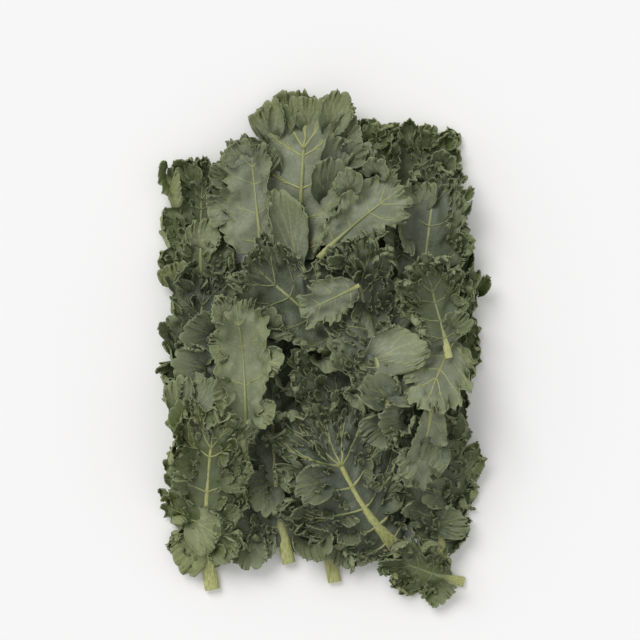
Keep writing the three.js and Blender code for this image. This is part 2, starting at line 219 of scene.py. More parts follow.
# Larger lobes that show by themselves, by the leaf that they grow on. Each has its root, its direction in
# degrees, its length in millimetres, half its spread in degrees, and 1 where its upper side is on top or -1
# where its underside is
SEEN_LOBES = {
    "leaf_crown": (
        (-32, 138, 112, 34, 36, -1),
        (-26, 140, 84, 32, 30, -1),
        (-8, 144, 90, 32, 34, -1),
        (8, 142, 70, 36, 34, -1),
        (16, 136, 40, 24, 50, -1),
        (20, 122, 20, 20, 60, 1),
        (-50, 122, 150, 20, 60, 1),
        # Painted shade: this lobe is turned to show the leaf's dark upper side where the crown lies in shadow
        # under a fold
        (-44, 118, 60, 24, 55, 1),
        # This lobe shows the leaf's dark upper side. Part of that is its own darker colour and part is
        # painted shade, where the crown lies deeper, right of its stalk
        (8, 96, 75, 36, 45, 1),
        (12, 112, 62, 40, 42, 1),
        (-34, 108, 112, 36, 38, 1),
        (-16, 48, 97, 66, 20, -1),
    ),
    "leaf_crown_left": (
        (-52, 122, 130, 19, 65, -1),
        (-62, 108, 160, 18, 65, 1),
        (-64, 88, 185, 19, 60, -1),
    ),
    "leaf_left_top": (
        (-86, 106, 115, 19, 60, 1),
        (-80, 62, 75, 26, 55, -1),
        (-95, 40, 95, 22, 60, -1),
    ),
    "leaf_top_middle": (
        (38, 134, 60, 19, 65, 1),
        (32, 120, 20, 20, 60, 1),
    ),
    "leaf_top_right": (
        (70, 134, 60, 18, 60, 1),
    ),
    "leaf_right_top": (
        (84, 116, 50, 19, 60, 1),
        (68, 90, 100, 24, 60, -1),
        (97, 62, 30, 16, 60, -1),
    ),
    "leaf_pale_top": (
        (20, 104, 100, 20, 60, -1),
        (40, 112, 75, 18, 60, -1),
    ),
    "leaf_middle": (
        (-48, -134, 258, 30, 50, 1),
        (-36, -130, 262, 26, 45, 1),
        (-4, -134, 292, 32, 48, 1),
        (-34, -98, 230, 30, 55, 1),
    ),
    "leaf_middle_top": (
        (-34, 6, 40, 22, 60, 1),
    ),
    "leaf_right_middle": (
        (38, -12, 22, 46, 38, -1),
        (34, 18, 255, 26, 60, 1),
        (46, -38, 130, 28, 55, 1),
        (50, 24, 60, 20, 65, -1),
        (48, -32, 10, 30, 55, 1),
        (44, -58, 212, 24, 60, 1),
        (57, -54, 178, 28, 52, 1),
    ),
    "leaf_right_fan": (
        (88, 8, 60, 19, 60, 1),
    ),
    "leaf_left_middle": (
        (-72, 2, 160, 32, 45, 1),
        (-74, -20, 168, 34, 45, 1),
    ),
    "leaf_pale_edge": (
        (-94, -46, 100, 30, 38, -1),
        (-82, -46, 75, 32, 42, -1),
    ),
    "leaf_pale_left": (
        (-64, 16, 160, 18, 60, -1),
        (-64, -6, 190, 17, 60, -1),
        (-60, -32, 200, 20, 55, -1),
        (-34, -14, -10, 19, 60, -1),
        (-58, -52, 215, 20, 55, -1),
        (-38, -48, -30, 20, 55, -1),
    ),
    "leaf_bottom_left": (
        (-88, -54, 130, 23, 55, 1),
        (-84, -84, 170, 24, 55, 1),
        (-64, -88, 10, 28, 55, 1),
        (-82, -122, -35, 34, 45, -1),
        (-84, -142, 215, 26, 60, -1),
        (-66, -140, -40, 20, 60, 1),
    ),
    "leaf_pale_low": (
        (80, -70, 230, 24, 50, 1),
        (60, -78, 200, 17, 65, -1),
    ),
    "leaf_right_low": (
        (78, -80, 205, 20, 60, 1),
        (84, -104, 160, 22, 60, 1),
        (84, -62, 80, 26, 55, 1),
        (82, -124, 10, 26, 50, 1),
    ),
    "leaf_bottom_middle": (
        (2, -94, 195, 30, 50, 1),
        (40, -108, 40, 28, 55, 1),
        (16, -138, 250, 22, 60, 1),
    ),
}


# The form that the nodes have too


def mix(a, b, share):
    return a + (b - a) * share


def smooth(t):
    s = np.clip(t, 0, 1)
    return s * s * (3 - 2 * s)


def rib_at(leaf, u):
    """The rib's line seen from above at u, from 0 to 1: x, y and the direction."""
    legs = list(zip(leaf.cut, leaf.bend, leaf.tip))
    x, y = [(1 - u) ** 2 * a + 2 * u * (1 - u) * b + u * u * c for a, b, c in legs]
    dx, dy = [2 * (1 - u) * (b - a) + 2 * u * (c - b) for a, b, c in legs]
    return x, y, np.arctan2(dy, dx)


def rib_end(leaf):
    length = math.dist(leaf.cut, leaf.bend) + math.dist(leaf.bend, leaf.tip)
    return 1 - TIP_REACH * leaf.reach / length


def rib_radius(leaf, u):
    thick = STALK_RADIUS * leaf.thick * math.sqrt(leaf.reach / REACH_TYPICAL)
    return thick * mix(1, RIB_END, smooth(u / rib_end(leaf)))


def vein_length(leaf, lobe, along, to_tip):
    q = 2 * lobe / leaf.lobes - 1
    wide = mix(leaf.base, 1, smooth(along / 0.55)) * mix(1, TIP_REACH, smooth(to_tip))
    notch = mix(NOTCH, NOTCH_AT_TIP, smooth(to_tip))
    notched = 1 - notch * (1 - np.sqrt(np.abs(np.sin(np.pi * lobe))))
    uneven = 1 + UNEVEN * np.sin(2.1 * lobe + leaf.cut[0]) * (1 - q * q)
    return leaf.reach * wide * notched * uneven * (1 - leaf.skew * q)


def blade_at(leaf, lobe, share):
    """Places on the blade: x, y, the height over the ground and the room that the leaf takes there.

    lobe counts lobes round the outline from the stalk's left to its right, and share runs along a vein
    from 0 at the rib to 1 at the margin.
    """
    q = 2 * lobe / leaf.lobes - 1
    away = np.abs(q)
    along = np.clip((1 - away) / (1 - TIP_SHARE), 0, 1)
    to_tip = np.maximum(0, 1 - away / TIP_SHARE)
    u = mix(leaf.bare, rib_end(leaf), along)
    x, y, heading = rib_at(leaf, u)
    opening = np.where(to_tip > 0, TIP_ANGLE * away / TIP_SHARE, mix(BASE_ANGLE, TIP_ANGLE, along**1.3))
    turned = opening * (1 - FORWARD * share)
    heading = heading + np.where(q < 0, turned, -turned)
    length = vein_length(leaf, lobe, along, to_tip)

    roll = leaf.roll * (0.5 + 0.5 * np.sin(1.9 * lobe + leaf.cut[0])) + 0.01
    band = length * (1 - ROLL_START)
    turn = roll * np.maximum(0, (share - ROLL_START) / (1 - ROLL_START))
    out = length * np.minimum(share, ROLL_START) + band * np.sin(turn) / roll
    rolled_up = band * (1 - np.cos(turn)) / roll

    radius = rib_radius(leaf, u)
    rib_side = radius * math.cos(math.pi / RIB_SIDES) + leaf.up * SINK * radius
    wave_room = leaf.curly * WAVE * share * share
    frill_room = leaf.curly * FRILL * smooth((share - 0.35) / 0.65)
    wave = wave_room * (1 + np.sin(np.pi * lobe + leaf.cut[1]))
    frill = frill_room * (1 + np.cos(4 * np.pi * lobe))
    lift = mix(rib_side, BLADE / 2, smooth(share / 0.7)) + rolled_up
    fine_room = 2 * leaf.curly * FINE * smooth((share - 0.6) / 0.4)
    room = lift + 2 * (wave_room + frill_room) + fine_room + BLADE / 2
    return x + out * np.cos(heading), y + out * np.sin(heading), lift + wave + frill, room


COLUMNS = 2 * HALF_X // CELL + 1
ROWS = 2 * HALF_Y // CELL + 1
SOFTEN = np.array([1, 6, 15, 20, 15, 6, 1]) / 64


def cells_round(x, y):
    """The cell that each place lies in and the eight next to it, with which of them are on the grid."""
    column = np.floor((x + HALF_X) / CELL + 0.5).astype(int)
    row = np.floor((y + HALF_Y) / CELL + 0.5).astype(int)
    for dr in (-1, 0, 1):
        for dc in (-1, 0, 1):
            r, c = row + dr, column + dc
            inside = (r >= 0) & (r < ROWS) & (c >= 0) & (c < COLUMNS)
            yield r[inside], c[inside], inside


def heap(field, x, y, top):
    """Raises the pile to top at the places and in the cells next to them."""
    for r, c, inside in cells_round(x, y):
        np.maximum.at(field, (r, c), top[inside])


def fall_from(near, row):
    """One row takes what its neighbour row and its own cells allow."""
    step = FALL * CELL
    if near is not None:
        np.maximum(row, near - step, out=row)
        np.maximum(row[1:], near[:-1] - step * math.sqrt(2), out=row[1:])
        np.maximum(row[:-1], near[1:] - step * math.sqrt(2), out=row[:-1])
    slope = step * np.arange(COLUMNS)
    np.maximum(row, np.maximum.accumulate(row + slope) - slope, out=row)
    np.maximum(row, np.maximum.accumulate((row - slope)[::-1])[::-1] + slope, out=row)


def softened(field):
    for axis, count in ((1, COLUMNS), (0, ROWS)):
        padded = np.pad(field, [(3, 3) if i == axis else (0, 0) for i in (0, 1)], mode="edge")
        field = sum(w * np.take(padded, range(k, k + count), axis) for k, w in enumerate(SOFTEN))
    return field


def settled_over(field):
    """The surface on which the next leaf lies: over every high point, falling off it gently."""
    padded = np.pad(field, 1, constant_values=-GAP)
    widened = np.max([padded[r : r + ROWS, c : c + COLUMNS] for r in range(3) for c in range(3)], axis=0)
    for r in range(ROWS):
        fall_from(widened[r - 1] if r else None, widened[r])
    for r in reversed(range(ROWS)):
        fall_from(widened[r + 1] if r + 1 < ROWS else None, widened[r])
    return softened(softened(widened))


def height_at(field, x, y):
    column = np.clip((x + HALF_X) / CELL, 0, COLUMNS - 1.001)
    row = np.clip((y + HALF_Y) / CELL, 0, ROWS - 1.001)
    c, r = np.floor(column).astype(int), np.floor(row).astype(int)
    lower = mix(field[r, c], field[r, c + 1], column - c)
    upper = mix(field[r + 1, c], field[r + 1, c + 1], column - c)
    return mix(lower, upper, row - r) + GAP


def heap_leaf(field, ground, leaf):
    lobe, share = np.meshgrid(np.arange(leaf.lobes * 12 + 1) / 12, np.arange(11) / 10)
    x, y, _, room = blade_at(leaf, lobe, share)
    heap(field, x, y, height_at(ground, x, y) + room)
    u = rib_end(leaf) * np.arange(61) / 60
    rib_x, rib_y, heading = rib_at(leaf, u)
    radius = rib_radius(leaf, u)
    top = height_at(ground, rib_x, rib_y) + 2 * radius
    for side in (-1, 0, 1):
        heap(field, rib_x - side * radius * np.sin(heading), rib_y + side * radius * np.cos(heading), top)
    return x, y


@lru_cache(maxsize=None)
def pile():
    """The settled surface under each leaf, which leaf is on top in each cell, and how many cells each has."""
    field = np.full((ROWS, COLUMNS), -float(GAP))
    topmost = np.full((ROWS, COLUMNS), -1)
    under, covers = {}, {}
    for number, each in enumerate(LEAVES):
        under[each.name] = settled_over(field)
        for r, c, _ in cells_round(*heap_leaf(field, under[each.name], each)):
            topmost[r, c] = number
        covers[each.name] = np.count_nonzero(topmost == number)
    return under, topmost, covers


def ground_of(leaf):
    return pile()[0][leaf.name]


def share_shown(leaf):
    return np.count_nonzero(pile()[1] == LEAVES.index(leaf)) / pile()[2][leaf.name]


def shows(leaf, x, y):
    """Where the leaf is the topmost one."""
    column = np.clip(np.rint((x + HALF_X) / CELL), 0, COLUMNS - 1).astype(int)
    row = np.clip(np.rint((y + HALF_Y) / CELL), 0, ROWS - 1).astype(int)
    return pile()[1][row, column] == LEAVES.index(leaf)


# Sheets: a grid of places, its directions and its ripples


def unit(vectors):
    length = np.linalg.norm(vectors, axis=-1, keepdims=True)
    return vectors / np.maximum(length, 1e-9)


def directions(places):
    """Unit vectors at each place of a grid: along the margin, outwards, and off the surface."""
    along = np.gradient(places, axis=1)
    outward = np.gradient(places, axis=0)
    off = np.cross(along, outward)
    flat = np.linalg.norm(off, axis=-1, keepdims=True) < 1e-7
    return unit(along), unit(outward), np.where(flat, (0.0, 0.0, 1.0), unit(off))


def rippled(places, phase, height, meander):
    """Folds the sheet in waves that lean over, as a margin does that has grown too long for its leaf."""
    along, _, off = directions(places)
    rise = (height * np.cos(phase))[..., None]
    lean = (meander * np.sin(2 * phase))[..., None]
    return places + off * rise - along * lean


def wandering(lobe, share, crests, seed):
    """The phase of ripples with so many crests a lobe, which drift and slant a little."""
    drift = 1.6 * np.sin(1.3 * lobe + seed) + 1.1 * np.sin(3.1 * lobe + 2.7 * seed)
    slant = 2.2 * share * np.sin(0.9 * lobe + 1.7 * seed)
    return 2 * np.pi * crests * lobe + drift + slant


def swell(x, y, size, seed):
    """A smooth uneven surface between about -1 and 1, with bumps of about that size."""
    total = 0
    for i in range(5):
        angle = 2.4 * i + seed
        k = 2 * np.pi / (size * (0.8 + 0.13 * i))
        total = total + np.sin(k * (x * np.cos(angle) + y * np.sin(angle)) + 1.9 * i * seed)
    return total / 2.6


def margin_length(leaf):
    lobe = np.linspace(0, leaf.lobes, leaf.lobes * 24 + 1)
    x, y, _, _ = blade_at(leaf, lobe, np.ones_like(lobe))
    return float(np.sum(np.hypot(np.diff(x), np.diff(y))))


def lipped(places, lobe, share, length, curl, seed):
    """Curls the margin in over the blade, here more and there less."""
    start = 0.8
    d = np.maximum(0, (share - start) / (1 - start))
    turn = curl * (0.5 + 0.5 * np.sin(2.7 * lobe + seed)) + 0.01
    reach = length * (1 - start)
    _, outward, off = directions(places)
    back = reach * (d - np.sin(turn * d) / turn)
    rise = reach * (1 - np.cos(turn * d)) / turn
    return places - outward * back[..., None] + off * rise[..., None]


@dataclass
class Grid:
    """A blade's places, in rings from the rib outwards and in rays round the outline, so many a lobe."""

    places: np.ndarray
    lobe: np.ndarray
    share: np.ndarray
    per_lobe: int

    def between(self, values, lobe, share):
        """Values given at the grid's points, where lobe and share lie between them."""
        ring = np.interp(share, RING_SHARES, np.arange(len(RING_SHARES)))
        ray = lobe * self.per_lobe
        i = np.clip(np.floor(ring).astype(int), 0, values.shape[0] - 2)
        j = np.clip(np.floor(ray).astype(int), 0, values.shape[1] - 2)
        s, t = (ring - i)[..., None], (ray - j)[..., None]
        inner = mix(values[i, j], values[i, j + 1], t)
        return mix(inner, mix(values[i + 1, j], values[i + 1, j + 1], t), s)


def lying_grid(leaf, lobe_length, seed):
    """The blade as it lies on the pile, blistered and with ragged bays in its margin."""
    spacing = SPACING_HIDDEN
    if not leaf.hidden:
        spacing = min(spacing, SPACING / max(0.1, share_shown(leaf)) ** 0.5)
    per_lobe = 4 * max(2, round(lobe_length / spacing / 4))
    lobe, share = np.meshgrid(np.arange(leaf.lobes * per_lobe + 1) / per_lobe, RING_SHARES)
    bays = 1 - np.abs(np.sin(3 * np.pi * lobe + 0.9 * np.sin(1.7 * lobe + seed)))
    deep = leaf.ragged * (0.6 + 0.4 * np.sin(2.3 * lobe + 2 * seed))
    x, y, height, _ = blade_at(leaf, lobe, share * (1 - deep * bays * smooth((share - 0.45) / 0.55)))
    near_rib = smooth(np.hypot(x - x[0], y - y[0]) / 7)
    level = height_at(ground_of(leaf), x, y)
    places = np.stack([x, y, mix(level[0], level, near_rib) + height], axis=-1)
    _, _, off = directions(places)
    blisters = 1.2 * near_rib * (swell(x, y, BLISTER, seed) + swell(x, y, 2.2 * BLISTER, 2 * seed))
    return Grid(places + off * blisters[..., None], lobe, share, per_lobe)


def blade_grid(leaf, settings):
    """The fine blade, with its margin curled in, rippled, crimped and toothed."""
    seed = leaf.cut[0] * 0.37 + leaf.cut[1] * 0.11
    lobe_length = margin_length(leaf) / leaf.lobes
    grid = lying_grid(leaf, lobe_length, seed)
    lobe, share = grid.lobe, grid.share
    curl = settings.curl * leaf.curly * (1.6 if leaf.up > 0 else 0.9)
    places = lipped(grid.places, lobe, share, leaf.reach, curl, seed)
    uneven = 0.65 + 0.35 * np.sin(1.1 * lobe + seed)
    grow = leaf.curly * uneven * smooth((share - 0.4) / 0.6)
    phase = wandering(lobe, share, max(2, round(lobe_length / RIPPLE)), seed)
    places = rippled(places, phase, 1.4 * grow, LEAN * RIPPLE * grow)
    grow = leaf.curly * smooth((share - 0.7) / 0.3)
    phase = wandering(lobe, share, max(3, round(lobe_length / CRIMP)), 1.7 * seed)
    places = rippled(places, phase, 0.55 * grow, 0.12 * CRIMP * grow)
    teeth = np.abs(np.sin(np.pi * round(lobe_length / TOOTH) * lobe + 0.6 * np.sin(5 * lobe)))
    _, outward, _ = directions(places)
    grid.places = places + outward * (0.9 * (teeth - 0.5) * smooth((share - 0.9) / 0.1))[..., None]
    return grid


# Meshes as arrays: places, triangles, and for each place its map (lobe, share), margin and vein values


@dataclass
class Pieces:
    """What a leaf is put together from."""

    places: list = field(default_factory=list)
    triangles: list = field(default_factory=list)
    finishes: list = field(default_factory=list)
    maps: list = field(default_factory=list)
    margins: list = field(default_factory=list)
    veins: list = field(default_factory=list)

    def add(self, places, triangles, finish, lobe, share, margin, vein=0.0):
        start = sum(len(p) for p in self.places)
        self.places.append(places)
        self.triangles.append(triangles + start)
        self.finishes.append(np.broadcast_to(finish, len(triangles)))
        self.maps.append(np.stack([lobe, share], axis=-1))
        self.margins.append(np.broadcast_to(margin, len(places)))
        self.veins.append(np.broadcast_to(vein, len(places)))


def band(inner, outer):
    """Triangles between two rings of vertex numbers, the outer as many as the inner or twice as many."""
    a, b = inner[:-1], inner[1:]
    if len(outer) == len(inner):
        c, d = outer[:-1], outer[1:]
        found = [np.stack([a, b, c], 1), np.stack([b, d, c], 1)]
    else:
        c, between, d = outer[:-2:2], outer[1:-1:2], outer[2::2]
        found = [np.stack([a, between, c], 1), np.stack([a, b, between], 1), np.stack([b, d, between], 1)]
    triangles = np.concatenate(found)
    same = (triangles[:, 0] == triangles[:, 1]) | (triangles[:, 1] == triangles[:, 2])
    return triangles[~(same | (triangles[:, 0] == triangles[:, 2]))]


def add_shell(pieces, places, triangles, values, settings, finishes):
    """Gives a sheet its thickness and closes it round its edge. finishes are its upper and lower one."""
    thickness = settings.blade_thickness * 1000
    used, numbers = np.unique(triangles, return_inverse=True)
    triangles = numbers.reshape(triangles.shape)
    places = places[used]
    corners = places[triangles]
    across = np.cross(corners[:, 1] - corners[:, 0], corners[:, 2] - corners[:, 0])
    normals = np.zeros_like(places)
    for k in range(3):
        np.add.at(normals, triangles[:, k], across)
    half = unit(normals) * thickness / 2
    count = len(places)
    edges = np.concatenate([triangles[:, [0, 1]], triangles[:, [1, 2]], triangles[:, [2, 0]]])
    code, back = edges[:, 0] * count + edges[:, 1], edges[:, 1] * count + edges[:, 0]
    a, b = edges[~np.isin(code, back)].T
    rim = np.concatenate([np.stack([a, b + count, b], 1), np.stack([a, a + count, b + count], 1)])
    whole = np.concatenate([triangles, triangles[:, ::-1] + count, rim])
    finish = np.repeat([finishes[0], finishes[1], finishes[0]], [len(triangles), len(triangles), len(rim)])
    twice = [np.concatenate([value[used], value[used]]) for value in values]
    pieces.add(np.concatenate([places + half, places - half]), whole, finish, *twice)


def ray_step(share):
    """Every which ray has a vertex on a blade's ring."""
    return 4 if share <= FOURTH_TO + 1e-6 else 2 if share <= SECOND_TO + 1e-6 else 1


def add_blade(pieces, leaf, grid, settings, finishes):
    rings, rays = grid.lobe.shape
    number = np.arange(rings * rays).reshape(rings, rays)
    ray = np.arange(rays)
    away = np.abs(2 * grid.lobe[0] / leaf.lobes - 1)
    number[0] = np.where(away > TIP_SHARE, np.minimum(ray, rays - 1 - ray), rays // 2)
    found = []
    for ring in range(1, rings):
        inner = number[ring - 1, :: ray_step(RING_SHARES[ring - 1])]
        found.append(band(inner, number[ring, :: ray_step(RING_SHARES[ring])]))
    values = [grid.lobe.ravel(), grid.share.ravel(), grid.share.ravel(), np.zeros(grid.lobe.size)]
    add_shell(pieces, grid.places.reshape(-1, 3), np.concatenate(found), values, settings, finishes)


# Small lobes and tufts. part runs across one from -1 to 1, and v from its root at 0 to its rim at 1


@dataclass(frozen=True)
class Form:
    """Length, half spread, tilt, arch and waves of a small lobe, as in KINDS."""

    size: float
    spread: float
    tilt: float
    arch: float
    waves: tuple


def rim_of(form, part, v, seed):
    """How far out the lobe reaches, with bays in its rim."""
    bays = 3 if form.size < LARGE else max(3, round(2 * form.spread * form.size / BAY))
    wobble = 0.6 * np.sin(seed + 2.5 * part)
    cut = 1 - np.sqrt(np.abs(np.sin(0.5 * bays * np.pi * (part + 1) + wobble)))
    deep = min(0.2, BAY_DEPTH / form.size) * (0.6 + 0.4 * np.sin(4 * part + seed))
    rounded = 1 - 0.12 * part**2 - 0.2 * part**8 + 0.09 * np.sin(3 * part + seed)
    return form.size * rounded * (1 - deep * cut * smooth(1.8 * v - 0.8))


def veins_of(form, part, v, seed):
    """How much of a vein there is at each place of the lobe, from 0 to 1."""
    vein = np.zeros_like(v)
    for end, start in FAN_VEINS:
        line = end * np.clip((v - start) / (1 - start), 0, 1) ** 0.7 + 0.04 * np.sin(7 * v + seed)
        beside = np.abs(part - line) * form.spread * form.size * v
        vein = np.maximum(vein, np.exp(-((beside / FAN_VEIN) ** 2)) * (v > start) * (1 - v**4))
    return vein


def fan(root, facing, form, seed):
    """A lobe as a grid of places, which fans out from root, tilts up and arches over, and its veins."""
    ahead, aside, off = facing
    size, tilt, arch = form.size, form.tilt, form.arch
    steps, first = (5, 0.02) if size < SMALL else (6, 0.1) if size < LARGE else (9, ROOT_SHARE)
    columns = max(12, int(2 * form.spread * size / CURL_SPACING))
    part, v = np.meshgrid(np.linspace(-1, 1, columns), mix(first, 1, np.linspace(0, 1, steps) ** 0.7))
    length = rim_of(form, part, v, seed)
    turn = tilt + arch * v
    out = length * (np.sin(turn) - math.sin(tilt)) / arch
    rise = length * (math.cos(tilt) - np.cos(turn)) / arch
    rise = rise + size * v * (0.12 * part**2 + 0.05 * np.sin(3.4 * part + 2 * seed))
    if size >= LARGE:
        rise = rise - SUNK_ROOT * (1 - smooth((v - first) / 0.3))
    vein = veins_of(form, part, v, seed)
    angle = part * form.spread * (0.8 + 0.3 * np.sin(np.pi * v**1.2))
    flat = ahead * np.cos(angle)[..., None] + aside * np.sin(angle)[..., None]
    return root + flat * out[..., None] + off * (rise + FAN_VEIN_RISE * vein)[..., None], part, v, vein


def curl_roots(leaf, grid, random):
    """Where small lobes and tufts grow on the part of the blade that shows: lobe, share and which kind."""
    lobe = random.uniform(0.05, leaf.lobes - 0.05, TRIES)
    share = random.uniform(0.04, 1.0, TRIES) ** 0.7
    is_tuft = random.uniform(0, 1, TRIES) < leaf.moss
    kind = np.where(is_tuft, TUFT, random.choice([LOBE, BROAD], TRIES, p=[0.6, 0.4]))
    spots = grid.between(grid.places, lobe, share)
    from_rib = np.hypot(*(spots - grid.between(grid.places, lobe, 0 * share))[:, :2].T)
    usable = shows(leaf, spots[:, 0], spots[:, 1]) & (from_rib > leaf.open)
    kept, taken = [], np.empty((0, 4))
    for i in np.flatnonzero(usable):
        clear = KINDS[kind[i]][0]
        if np.any(np.linalg.norm(taken[:, :3] - spots[i], axis=1) < (taken[:, 3] + clear) / 2):
            continue
        taken = np.vstack([taken, [*spots[i], clear]])
        kept.append(i)
    return lobe[kept], share[kept], kind[kept]


def draped(places, leaf):
    """Lifts what lies over the leaf's rib onto it."""
    u = np.linspace(0, rib_end(leaf), 80)
    x, y, _ = rib_at(leaf, u)
    radius = rib_radius(leaf, u)
    top = height_at(ground_of(leaf), x, y) + 2 * radius + 0.5
    away = np.hypot(places[..., 0, None] - x, places[..., 1, None] - y)
    nearest = np.argmin(away, axis=-1)
    beside = np.maximum(0, np.min(away, axis=-1) - radius[nearest])
    lift = np.maximum(0, top[nearest] - places[..., 2]) * np.exp(-((beside / 3) ** 2))
    return places + lift[..., None] * (0.0, 0.0, 1.0)


def add_fan(pieces, root, lobe, facing, form, seed, settings, finishes, over=None):
    """One small lobe or tuft on root. facing is the directions ahead, aside and off the blade there."""
    grown, part, v, vein = fan(root, facing, form, seed)
    for wavelength, height, power in form.waves:
        crests = max(2, round(2 * form.spread * form.size / wavelength)) / 2
        slant = 2 * np.pi * form.size * v / wavelength * part**4
        phase = wandering(3 * part, v, crests / 3, seed) + slant
        near_rim = np.maximum(v ** max(1, form.size / 12), np.abs(part) ** 6 * v)
        grow = (0.55 + 0.45 * np.sin(5 * part + 1.3 * seed)) * near_rim**power
        grown = rippled(grown, phase, height * grow, LEAN * wavelength * grow)
    if over:
        grown = draped(grown, over)
    number = np.arange(v.size).reshape(v.shape)
    triangles = np.concatenate([band(number[i], number[i + 1]) for i in range(len(number) - 1)])
    values = [(lobe + 0.5 * part).ravel(), v.ravel(), v.ravel(), vein.ravel()]
    add_shell(pieces, grown.reshape(-1, 3), triangles, values, settings, finishes)


def form_of(kind, random, scale):
    """The form of a random small lobe or tuft."""
    folds_back = random.uniform() < FOLDED_SHARE
    arch = random.uniform(*(ARCHES_FOLDED if folds_back else ARCHES))
    _, sizes, spread, tilts, waves = KINDS[kind]
    size, tilt = random.uniform(*sizes), random.uniform(*tilts)
    if kind == TUFT:
        arch = random.uniform(*ARCHES_TUFT)
    return Form(size * scale, spread, tilt, arch, waves)


def add_curls(pieces, leaf, grid, settings, finishes):
    """Small lobes that tilt up and fold over the blade, and tufts of tight curls, as on a parsley leaf."""
    random = np.random.default_rng(LEAVES.index(leaf) + 5)
    facing = directions(grid.places)
    for lobe, share, kind in zip(*curl_roots(leaf, grid, random)):
        along, outward, off = [grid.between(each, lobe, share) for each in facing]
        off = unit(off + (0, 0, 1.0))
        at_base = max(0, 1 - lobe / 0.7) - max(0, 1 - (leaf.lobes - lobe) / 0.7)
        twist = random.normal(0, 0.7) - 0.5 * math.pi * at_base
        ahead = outward * math.cos(twist) + along * math.sin(twist)
        aside = along * math.cos(twist) - outward * math.sin(twist)
        form = form_of(kind, random, settings.curl_size)
        root = grid.between(grid.places, lobe, share) - 0.3 * off - 0.25 * form.size * ahead
        add_fan(pieces, root, lobe, (ahead, aside, off), form, random.uniform(0, 20), settings, finishes)


def add_seen_lobes(pieces, leaf, grid, settings, finishes):
    """The larger lobes that lie folded over the blade, each in its own place and direction."""
    _, _, off = directions(grid.places)
    for x, y, degrees, size, spread, face in SEEN_LOBES.get(leaf.name, ()):
        away = np.hypot(grid.places[..., 0] - x, grid.places[..., 1] - y)
        nearest = np.unravel_index(np.argmin(away), away.shape)
        normal = unit(off[nearest] + (0, 0, 2.0))
        heading = np.array([math.cos(math.radians(degrees)), math.sin(math.radians(degrees)), 0.0])
        ahead = unit(heading - normal * np.dot(heading, normal))
        root = grid.places[nearest] - 0.4 * normal - ROOT_SHARE * size * ahead
        facing = (ahead, np.cross(ahead, normal), normal)
        form = Form(size, math.radians(spread), SEEN_TILT, SEEN_ARCH / size, SEEN_WAVES)
        sides = finishes if face == leaf.up else finishes[::-1]
        add_fan(pieces, root, grid.lobe[nearest], facing, form, x, settings, sides, over=leaf)


def add_stalk(pieces, leaf):
    """The cut stalk and the rib as one tapering bar, grooved along its upper side."""
    stations, sides = 56, 14
    u = np.linspace(0, rib_end(leaf), stations)
    x, y, heading = rib_at(leaf, u)
    radius = rib_radius(leaf, u)
    middle = height_at(ground_of(leaf), x, y) + radius * math.cos(math.pi / RIB_SIDES)
    in_blade = smooth((u - leaf.bare) / 0.15)
    radius = mix(radius, np.maximum(radius, 1.2 * leaf.reach / REACH_TYPICAL) * 1.12, in_blade)
    angle = 2 * np.pi * (np.arange(sides) + 0.5) / sides
    groove = 0.22 * np.exp(-((np.cos(angle - leaf.up * np.pi / 2) - 1) ** 2) / 0.02)
    size = radius[:, None] * (1 - groove[None] * (1 - in_blade)[:, None])
    across = size * np.cos(angle) * mix(STALK_WIDE, RIB_WIDE, in_blade)[:, None]
    places = np.stack([x[:, None] + across * np.sin(heading)[:, None],
                       y[:, None] - across * np.cos(heading)[:, None],
                       middle[:, None] + size * np.sin(angle) * STALK_HIGH], axis=-1)
    number = np.arange(stations * sides).reshape(stations, sides)
    closed = np.concatenate([number, number[:, :1]], axis=1)
    triangles = [band(closed[i + 1], closed[i]) for i in range(stations - 1)]
    triangles.append(np.stack([number[-1], np.roll(number[-1], -1), np.full(sides, stations * sides)], 1))
    places = np.concatenate([places.reshape(-1, 3), places[-1].mean(axis=0)[None]])
    turn = np.tile(np.arange(sides) / sides, stations)
    distance = np.repeat(np.linspace(0, MAP_LENGTH, stations), sides)
    dull = np.append(np.repeat(in_blade, sides), 1) * (0.0 if leaf.thick > 1 else 0.3 + 0.6 * leaf.tone)
    turn, distance = np.append(turn, 0), np.append(distance, MAP_LENGTH)
    pieces.add(places, np.concatenate(triangles), RIB, turn, distance, dull)
    add_cut(pieces, places[:sides], heading[0])


def add_cut(pieces, rim, heading):
    """The cut face of a stalk, a little hollow inside its rim."""
    sides = len(rim)
    heart = rim.mean(axis=0)
    inset = mix(heart, rim, 0.7) + 0.25 * np.array([math.cos(heading), math.sin(heading), 0])
    ring = np.arange(sides)
    near = np.roll(ring, -1)
    triangles = np.concatenate([np.stack([ring, ring + sides, near], 1),
                                np.stack([near, ring + sides, near + sides], 1),
                                np.stack([ring + sides, np.full(sides, 2 * sides), near + sides], 1)])
    face = np.concatenate([rim, inset, heart[None]])
    share = np.repeat([1.0, 0.7, 0.0], [sides, sides, 1])
    pieces.add(face, triangles, CUT, np.zeros(len(face)), share, 0.0)


# Veins: tubes along their paths on the blade, made by Geometry Nodes


def vein_paths(leaf):
    """Paths on the blade as (lobe, share) points, each with how thick the vein starts."""
    paths = []
    t = np.linspace(0, 1, 17)
    end, forks = (0.96, (0.16, 0.3, 0.44, 0.58, 0.7)) if leaf.up < 0 else (0.85, (0.3, 0.5))
    for k in range(leaf.lobes):
        middle = k + 0.5
        paths.append((middle + 0.12 * t * np.sin(1.3 * k + 2 * t), end * t, 1.0))
        for i, start in enumerate(forks):
            wide = 0.4 * (1 - 0.35 * start)
            for side, shift in ((-1, start), (1, start + 0.03)):
                paths.append((middle + side * wide * t[::2] ** 0.85, mix(shift, end, t[::2]), 0.5 - 0.04 * i))
    return paths


